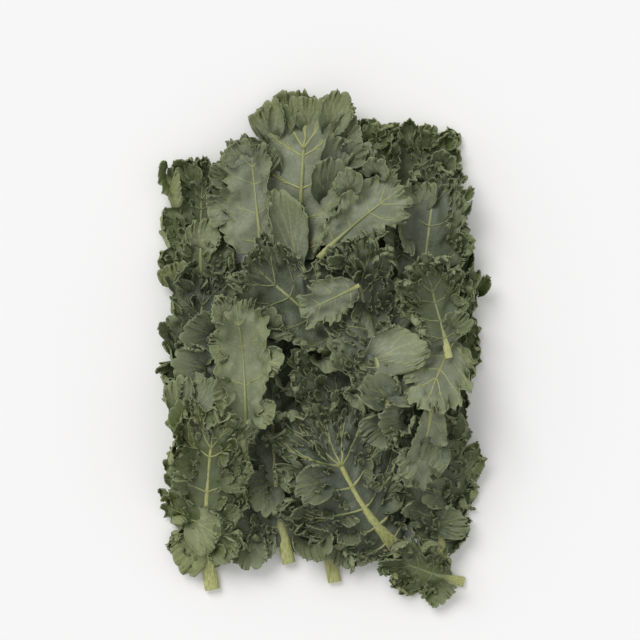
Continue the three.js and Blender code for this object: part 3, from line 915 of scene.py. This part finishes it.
def vein_mesh(leaf, grid):
    """The paths of a leaf's veins as a mesh of edges with the radius at each point."""
    _, _, off = directions(grid.places)
    points, edges, radii = [], [], []
    for lobe, share, thick in vein_paths(leaf):
        t = np.linspace(0, 1, len(lobe))
        spots = grid.between(grid.places, lobe, share)
        if not np.any(shows(leaf, spots[:, 0], spots[:, 1])):
            continue
        radius = leaf.reach / REACH_TYPICAL * thick * mix(0.85, 0.2, t**0.8)
        sunk = radius - mix(0.85, 0.4, t) if leaf.up > 0 else -0.3 * radius
        first = sum(len(p) for p in points)
        edges.extend((first + i, first + i + 1) for i in range(len(spots) - 1))
        points.append(spots - grid.between(off, lobe, share) * sunk[:, None])
        radii.append(radius)
    if not points:
        return None
    mesh = bpy.data.meshes.new(f"{leaf.name}_vein_paths")
    mesh.from_pydata(np.concatenate(points), edges, [])
    mesh.attributes.new("vein_radius", "FLOAT", "POINT").data.foreach_set("value", np.concatenate(radii))
    return mesh


def add_node(tree, kind, inputs=None, **settings):
    """Adds a node with its settings, and its inputs as values or as links from other nodes' outputs."""
    node = tree.nodes.new(kind)
    for name, value in settings.items():
        setattr(node, name, value)
    for socket, value in (inputs or {}).items():
        if isinstance(value, bpy.types.NodeSocket):
            tree.links.new(value, node.inputs[socket])
        else:
            node.inputs[socket].default_value = value
    return node


@lru_cache(maxsize=None)
def vein_tubes():
    """Geometry Nodes: tubes along the paths, tapering as their vein_radius says, and its chosen inputs."""
    tree = bpy.data.node_groups.new("kale_vein_tubes", "GeometryNodeTree")
    face = tree.interface
    face.new_socket("Paths", in_out="INPUT", socket_type="NodeSocketGeometry")
    chosen = [face.new_socket(name, in_out="INPUT", socket_type=f"NodeSocket{kind}").identifier
              for name, kind in (("Sides", "Int"), ("Thickness", "Float"), ("Material", "Material"))]
    face.new_socket("Veins", in_out="OUTPUT", socket_type="NodeSocketGeometry")
    given = add_node(tree, "NodeGroupInput").outputs
    radius = add_node(tree, "GeometryNodeInputNamedAttribute", {"Name": "vein_radius"}, data_type="FLOAT")
    scale = add_node(tree, "ShaderNodeMath", {0: radius.outputs["Attribute"], 1: given["Thickness"]},
                     operation="MULTIPLY")
    path = add_node(tree, "GeometryNodeMeshToCurve", {"Mesh": given["Paths"]})
    circle = add_node(tree, "GeometryNodeCurvePrimitiveCircle", {"Resolution": given["Sides"], "Radius": 1.0})
    tube = add_node(tree, "GeometryNodeCurveToMesh", {
        "Curve": path.outputs["Curve"],
        "Profile Curve": circle.outputs["Curve"],
        "Scale": scale.outputs["Value"],
        "Fill Caps": True,
    })
    round_off = add_node(tree, "GeometryNodeSetShadeSmooth", {"Geometry": tube.outputs["Mesh"]})
    real = add_node(tree, "GeometryNodeRealizeInstances", {"Geometry": round_off.outputs["Geometry"]})
    painted = add_node(tree, "GeometryNodeSetMaterial", {
        "Geometry": real.outputs["Geometry"],
        "Material": given["Material"],
    })
    add_node(tree, "NodeGroupOutput", {"Veins": painted.outputs["Geometry"]})
    return tree, chosen


def vein_dimness(leaf):
    """How far the side veins' colour goes towards the blade's."""
    if leaf.up < 0:
        return 0.15
    return 0.3 if leaf.thick > 1 else 0.75


def add_veins(pieces, leaf, grid, settings):
    paths = vein_mesh(leaf, grid)
    if paths is None:
        return
    tree, sockets = vein_tubes()
    holder = bpy.data.objects.new(f"{leaf.name}_veins", paths)
    bpy.context.scene.collection.objects.link(holder)
    modifier = holder.modifiers.new("Veins", "NODES")
    modifier.node_group = tree
    for socket, value in zip(sockets, (settings.vein_sides, settings.vein_thickness, leaf_rib())):
        modifier[socket] = value
    grown = bpy.data.meshes.new_from_object(holder.evaluated_get(bpy.context.evaluated_depsgraph_get()))
    grown.calc_loop_triangles()
    places = np.empty(len(grown.vertices) * 3)
    grown.vertices.foreach_get("co", places)
    triangles = np.empty(len(grown.loop_triangles) * 3, dtype=np.int64)
    grown.loop_triangles.foreach_get("vertices", triangles)
    if not len(triangles):
        raise RuntimeError(f"{leaf.name} got no veins")
    bpy.data.objects.remove(holder)
    bpy.data.meshes.remove(grown)
    count = len(places) // 3
    places, triangles = places.reshape(-1, 3), triangles.reshape(-1, 3)
    distance = np.full(count, MAP_LENGTH / 2)
    pieces.add(places, triangles, RIB, np.zeros(count), distance, vein_dimness(leaf))


# Finishes


def linear(code):
    """A colour for Blender from its sRGB hex code."""
    values = [int(code[i : i + 2], 16) / 255 for i in (1, 3, 5)]
    return (*[v / 12.92 if v <= 0.04045 else ((v + 0.055) / 1.055) ** 2.4 for v in values], 1.0)


def new_material(name):
    material = bpy.data.materials.new(name)
    material.use_nodes = True
    tree = material.node_tree
    return material, tree, tree.nodes["Principled BSDF"]


def blended(tree, factor, a, b):
    """A colour between a and b."""
    node = add_node(tree, "ShaderNodeMix", data_type="RGBA")
    for socket, value in ((0, factor), (6, a), (7, b)):
        if isinstance(value, bpy.types.NodeSocket):
            tree.links.new(value, node.inputs[socket])
        else:
            node.inputs[socket].default_value = value
    return node.outputs[2]


def layered(tree, body, layers):
    """The body colour with others over it, each given with its share."""
    for share, over in layers:
        body = blended(tree, share, body, over)
    return body


def ramped(tree, value, low, high, to_low=0.0, to_high=1.0):
    node = add_node(tree, "ShaderNodeMapRange", {
        "Value": value, "From Min": low, "From Max": high, "To Min": to_low, "To Max": to_high,
    }, clamp=True)
    return node.outputs["Result"]


def stored(tree, *names):
    """Values that the mesh holds at its vertices."""
    return [add_node(tree, "ShaderNodeAttribute", attribute_name=name).outputs["Fac"] for name in names]


def coordinates(tree, kind):
    return add_node(tree, "ShaderNodeTexCoord").outputs[kind]


def cloudy(tree, place, scale, detail, low, high, *to):
    """Soft noise between 0 and 1, or between the two values of to."""
    inputs = {"Vector": place, "Scale": scale, "Detail": detail}
    noise = add_node(tree, "ShaderNodeTexNoise", inputs)
    return ramped(tree, noise.outputs["Fac"], low, high, *to)


def netted(tree, place, scale):
    """How far each place lies from the borders of a net's meshes."""
    inputs = {"Vector": place, "Scale": scale}
    return add_node(tree, "ShaderNodeTexVoronoi", inputs, feature="DISTANCE_TO_EDGE").outputs["Distance"]


def bumped(tree, shader, height, strength):
    inputs = {"Height": height, "Distance": BUMP, "Strength": strength}
    tree.links.new(add_node(tree, "ShaderNodeBump", inputs).outputs["Normal"], shader.inputs["Normal"])


def per_metre(size):
    """The scale of a pattern whose parts are so many millimetres large."""
    return 1000 / size


# Sizes of the patterns, in millimetres. A leaf's net of finest veins has meshes of about 1 mm, too fine to
# show in the render, so it is drawn as coarse as it needs to show, on the underside coarser than above
PATCH_UPPER, PATCH_UNDER = 14.3, 18.2
BLOOM_CLOUD = 26.3
NET_UPPER, NET_UNDER = 2.38, 3.85
MOTTLE = 8.33
BUMP = 0.0003  # height of the raised parts, in metres

# How much finer the streaks are round a stalk and along it, on its map. That makes them about 1 mm wide, as
# the ridges of a real stalk are, and 6 mm long
STREAKS = (9.0, 0.8, 1.0)


@lru_cache(maxsize=None)
def leaf_upper():
    """Kale blade, upper side: waxy cuticle over dark green tissue, satin, with a bluish bloom."""
    settings = bpy.context.scene.kale_bunch
    material, tree, shader = new_material("kale_blade_upper_waxy")
    spot = coordinates(tree, "Object")
    margin, tone, vein = stored(tree, "margin", "tone", "vein")
    net = netted(tree, spot, per_metre(NET_UPPER))
    patches = cloudy(tree, spot, per_metre(PATCH_UPPER), 3.0, 0.35, 0.65)
    body = layered(tree, blended(tree, patches, settings.upper_dark, settings.upper_light), (
        (tone, settings.upper_yellow),
        (ramped(tree, margin, 0.45, 1.0, 0.0, 0.2), settings.upper_yellow),
        (cloudy(tree, spot, per_metre(BLOOM_CLOUD), 2.0, 0.5, 0.75, 0.0, 0.35), settings.bloom),
        (ramped(tree, net, 0.02, 0.2, 0.22, 0.0), settings.vein),
        (ramped(tree, vein, 0.1, 1.0, 0.0, 0.45), settings.rib_dark),
        # Painted highlight along the margin, for light catching and shining through the thin edge
        (ramped(tree, margin, 0.55, 1.0, 0.0, 0.55), settings.margin),
    ))
    tree.links.new(body, shader.inputs["Base Color"])
    bumped(tree, shader, ramped(tree, net, 0.0, 0.3), 0.35)
    shader.inputs["Roughness"].default_value = 0.5
    shader.inputs["Specular IOR Level"].default_value = 0.4
    return material


@lru_cache(maxsize=None)
def leaf_under():
    """Kale blade, underside: paler, matt tissue with a raised net of veins."""
    settings = bpy.context.scene.kale_bunch
    material, tree, shader = new_material("kale_blade_underside_matt")
    spot = coordinates(tree, "Object")
    margin, tone, vein = stored(tree, "margin", "tone", "vein")
    net = netted(tree, spot, per_metre(NET_UNDER))
    patches = cloudy(tree, spot, per_metre(PATCH_UNDER), 3.0, 0.35, 0.65)
    body = layered(tree, blended(tree, patches, settings.under_dark, settings.under_light), (
        (ramped(tree, tone, 0.3, 0.9, 0.0, 0.85), settings.under_yellow),
        (ramped(tree, margin, 0.5, 1.0, 0.0, 0.5), settings.under_yellow),
        (ramped(tree, net, 0.02, 0.12, 0.4, 0.0), settings.vein),
        (ramped(tree, vein, 0.1, 1.0, 0.0, 0.4), settings.rib_light),
        # Painted highlight along the margin, for light catching and shining through the thin edge
        (ramped(tree, margin, 0.88, 1.0, 0.0, 0.6), settings.margin),
    ))
    tree.links.new(body, shader.inputs["Base Color"])
    bumped(tree, shader, ramped(tree, net, 0.0, 0.25, 1.0, 0.0), 0.5)
    shader.inputs["Roughness"].default_value = 0.68
    shader.inputs["Specular IOR Level"].default_value = 0.3
    return material


@lru_cache(maxsize=None)
def leaf_rib():
    """Kale stalk and veins: firm pale yellow-green tissue, smooth, faintly streaked along its length."""
    settings = bpy.context.scene.kale_bunch
    material, tree, shader = new_material("kale_stalk_and_veins")
    (margin,) = stored(tree, "margin")
    stretched = add_node(tree, "ShaderNodeMapping", {"Vector": coordinates(tree, "UV"), "Scale": STREAKS})
    streaks = add_node(tree, "ShaderNodeTexNoise", {
        "Vector": stretched.outputs["Vector"], "Scale": 3.0, "Detail": 4.0,
    }).outputs["Fac"]
    mottle = cloudy(tree, coordinates(tree, "Object"), per_metre(MOTTLE), 2.0, 0.45, 0.7, 0.0, 0.25)
    body = layered(tree, settings.rib_dark, (
        (ramped(tree, streaks, 0.35, 0.65), settings.rib_light),
        (mottle, settings.rib_dark),
        (margin, settings.vein),
    ))
    tree.links.new(body, shader.inputs["Base Color"])
    bumped(tree, shader, streaks, 0.4)
    shader.inputs["Roughness"].default_value = 0.42
    return material


@lru_cache(maxsize=None)
def cut_face():
    """Cut end of a stalk: moist whitish pith inside a greener rind."""
    settings = bpy.context.scene.kale_bunch
    material, tree, shader = new_material("kale_stalk_cut_face")
    out = add_node(tree, "ShaderNodeSeparateXYZ", {"Vector": coordinates(tree, "UV")}).outputs["Y"]
    body = blended(tree, ramped(tree, out, 0.6, 1.0), settings.pith, settings.rib_dark)
    tree.links.new(body, shader.inputs["Base Color"])
    shader.inputs["Roughness"].default_value = 0.35
    return material


# Putting a leaf together


def placed(pieces, name, leaf):
    """One mesh object from the arrays, in metres and in the bunch's frame."""
    places = np.concatenate(pieces.places) - (MIDDLE[0], MIDDLE[1], 0)
    low = places[:, 2] < PRESSED
    places[low, 2] = PRESSED * np.exp(places[low, 2] / PRESSED - 1)
    triangles = np.concatenate(pieces.triangles)
    corners = triangles.ravel()
    mesh = bpy.data.meshes.new(name)
    mesh.vertices.add(len(places))
    mesh.vertices.foreach_set("co", (places / 1000).ravel())
    mesh.loops.add(len(corners))
    mesh.loops.foreach_set("vertex_index", corners)
    mesh.polygons.add(len(triangles))
    mesh.polygons.foreach_set("loop_start", np.arange(0, len(corners), 3))
    mesh.polygons.foreach_set("material_index", np.concatenate(pieces.finishes))
    mesh.polygons.foreach_set("use_smooth", np.ones(len(triangles), dtype=bool))
    maps = np.concatenate(pieces.maps)[corners]
    mesh.uv_layers.new(name="lobe_and_share").data.foreach_set("uv", maps.ravel())
    outside = np.maximum(np.abs(places[:, 0]) / OUTER_X, np.abs(places[:, 1]) / OUTER_Y)
    tones = leaf.tone + YELLOW_BY * smooth((outside - YELLOW_FROM) / (1 - YELLOW_FROM))
    margins, veins = np.concatenate(pieces.margins), np.concatenate(pieces.veins)
    for value, numbers in (("margin", margins), ("vein", veins), ("tone", tones)):
        mesh.attributes.new(value, "FLOAT", "POINT").data.foreach_set("value", numbers)
    mesh.update(calc_edges=True)
    thing = bpy.data.objects.new(name, mesh)
    bpy.context.scene.collection.objects.link(thing)
    return thing


def grow_leaf(leaf, settings):
    """Makes one leaf and puts it in its node's place."""
    grid = blade_grid(leaf, settings)
    sides = (UPPER, UNDER) if leaf.up > 0 else (UNDER, UPPER)
    pieces = Pieces()
    add_blade(pieces, leaf, grid, settings, sides)
    if leaf.up > 0:
        add_curls(pieces, leaf, grid, settings, sides)
    add_seen_lobes(pieces, leaf, grid, settings, sides)
    add_stalk(pieces, leaf)
    add_veins(pieces, leaf, grid, settings)
    thing = placed(pieces, f"kale_{leaf.name}", leaf)
    for material in (leaf_upper(), leaf_under(), leaf_rib(), cut_face()):
        thing.data.materials.append(material)
    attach(thing, "root")
    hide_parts(leaf.name)


# Settings


def colour(name, description, code):
    return FloatVectorProperty(name=name, description=description, subtype="COLOR", size=4, min=0, max=1,
                               default=linear(code))


class KaleBunchSettings(PropertyGroup):
    """Sizes and colours of the bunch that a user would change."""

    blade_thickness: FloatProperty(name="Blade thickness", description="Thickness of a leaf's blade",
                                   default=0.0005, min=0.0003, max=0.0009, unit="LENGTH", precision=5)
    curl_size: FloatProperty(name="Curl size", description="Size of the small lobes and tufts, as a share",
                             default=1.0, min=0.3, max=1.5)
    curl: FloatProperty(name="Curl", description="How far margins curl in over the blade", default=1.0,
                        min=0.0, max=2.0, unit="ROTATION")
    vein_sides: IntProperty(name="Vein sides", description="Sides of a vein's tube", default=5, min=4,
                            max=12)
    vein_thickness: FloatProperty(name="Vein thickness", description="Side veins' thickness, as a share",
                                  default=1.0, min=0.3, max=2.0)
    upper_dark: colour("Upper side, dark", "Upper side where it is darkest", "#3b4139")
    upper_light: colour("Upper side, light", "Upper side where it is lightest", "#565c52")
    upper_yellow: colour("Yellow-green", "Towards this colour in the younger leaves", "#636e38")
    bloom: colour("Bloom", "Bluish wax on the upper side", "#7a7f79")
    # Painted highlight: this paler colour lines the blades' thin margins and stands for light catching the
    # edge and shining through it
    margin: colour("Margin", "Thin edge of a blade", "#8d9471")
    vein: colour("Fine veins", "Net of fine veins", "#757d5c")
    under_dark: colour("Underside, dark", "Underside where it is darkest", "#717762")
    under_light: colour("Underside, light", "Underside where it is lightest", "#8e947e")
    under_yellow: colour("Underside, yellow-green", "Towards this colour at the margins", "#8a915f")
    rib_dark: colour("Stalk, dark", "Stalk and veins where they are greener", "#93965a")
    rib_light: colour("Stalk, light", "Stalk and veins where they are palest", "#c0c284")
    pith: colour("Pith", "Middle of a cut stalk", "#d3d5ae")
    floor_size: FloatProperty(name="Floor size", description="Side of the floor", default=3.0, min=1.0,
                              unit="LENGTH")
    floor_colour: colour("Floor", "Plain pale floor", "#fbfafa")
    camera_height: FloatProperty(name="Camera height", description="Height of the camera over the floor",
                                 default=1.5, min=0.5, max=5.0, unit="LENGTH")


# Operators, one for each group of like leaves and one for the stage


def grow_all(context, leaves):
    for each in leaves:
        grow_leaf(each, context.scene.kale_bunch)
    return {"FINISHED"}


class KALE_OT_lowest_leaves(Operator):
    """Grow the lowest leaves, which the others mostly hide"""

    bl_idname = "kale.lowest_leaves"
    bl_label = "Lowest leaves"

    def execute(self, context):
        return grow_all(context, [each for each in LEAVES if each.hidden])


class KALE_OT_green_leaves(Operator):
    """Grow the curly leaves that show their green upper side"""

    bl_idname = "kale.green_leaves"
    bl_label = "Green leaves"

    def execute(self, context):
        return grow_all(context, [each for each in LEAVES if each.up > 0 and not each.hidden])


class KALE_OT_pale_leaves(Operator):
    """Grow the leaves that lie on their face and show their pale underside"""

    bl_idname = "kale.pale_leaves"
    bl_label = "Pale leaves"

    def execute(self, context):
        return grow_all(context, [each for each in LEAVES if each.up < 0])


VIEW_WIDTH = 0.427  # what the camera sees of the bunch, in metres
VIEW_MIDDLE = (0.00058, 0.01572)
BUNCH_MIDDLE = 0.03  # height that the view's width is measured at
SENSOR = 36  # width of the camera's sensor, in millimetres
SKY_STRENGTH, WINDOW_STRENGTH = 0.62, 1.5
WINDOW_SOFTNESS = 35  # angle across the window's light, in degrees
WINDOW_TILT = (-32, -28)  # from straight down, in degrees


class KALE_OT_stage(Operator):
    """Lay the pale floor and set the soft light and the camera that looks straight down"""

    bl_idname = "kale.stage"
    bl_label = "Floor, light and camera"

    def execute(self, context):
        settings = context.scene.kale_bunch
        half = settings.floor_size / 2
        mesh = bpy.data.meshes.new("floor")
        corners = [(-half, -half, 0), (half, -half, 0), (half, half, 0), (-half, half, 0)]
        mesh.from_pydata(corners, [], [(0, 1, 2, 3)])
        floor = bpy.data.objects.new("floor", mesh)
        context.scene.collection.objects.link(floor)
        material, _, shader = new_material("floor_matt_white")
        shader.inputs["Base Color"].default_value = settings.floor_colour
        shader.inputs["Roughness"].default_value = 0.9
        shader.inputs["Specular IOR Level"].default_value = 0.1
        mesh.materials.append(material)

        context.scene.view_settings.view_transform = "Standard"
        world = bpy.data.worlds.new("soft_white")
        world.use_nodes = True
        sky = world.node_tree.nodes["Background"]
        sky.inputs["Color"].default_value = (1.0, 1.0, 1.0, 1.0)
        sky.inputs["Strength"].default_value = SKY_STRENGTH
        context.scene.world = world
        lamp = bpy.data.lights.new("window", "SUN")
        lamp.energy = WINDOW_STRENGTH
        lamp.angle = math.radians(WINDOW_SOFTNESS)
        light = bpy.data.objects.new("window", lamp)
        light.rotation_euler = (*map(math.radians, WINDOW_TILT), 0)
        context.scene.collection.objects.link(light)

        lens = bpy.data.cameras.new("camera")
        lens.sensor_width = SENSOR
        lens.lens = SENSOR * (settings.camera_height - BUNCH_MIDDLE) / VIEW_WIDTH
        camera = bpy.data.objects.new("camera", lens)
        camera.location = (*VIEW_MIDDLE, settings.camera_height)
        context.scene.collection.objects.link(camera)
        context.scene.camera = camera
        return {"FINISHED"}


class KALE_PT_bunch(Panel):
    """Lists the steps that make the bunch"""

    bl_idname = "KALE_PT_bunch"
    bl_label = "Kale Bunch"
    bl_space_type = "VIEW_3D"
    bl_region_type = "UI"
    bl_category = "Kale"

    def draw(self, context):
        for step in STEPS:
            self.layout.operator(step.bl_idname)
        for name in KaleBunchSettings.__annotations__:
            self.layout.prop(context.scene.kale_bunch, name)


STEPS = (KALE_OT_lowest_leaves, KALE_OT_green_leaves, KALE_OT_pale_leaves, KALE_OT_stage)
CLASSES = (KaleBunchSettings, *STEPS, KALE_PT_bunch)


def register():
    for each in CLASSES:
        bpy.utils.register_class(each)
    bpy.types.Scene.kale_bunch = PointerProperty(type=KaleBunchSettings)


def unregister():
    del bpy.types.Scene.kale_bunch
    for each in reversed(CLASSES):
        bpy.utils.unregister_class(each)


def main():
    register()
    bpy.ops.kale.lowest_leaves()
    bpy.ops.kale.green_leaves()
    bpy.ops.kale.pale_leaves()
    bpy.ops.kale.stage()


if __name__ == "__main__":
    main()
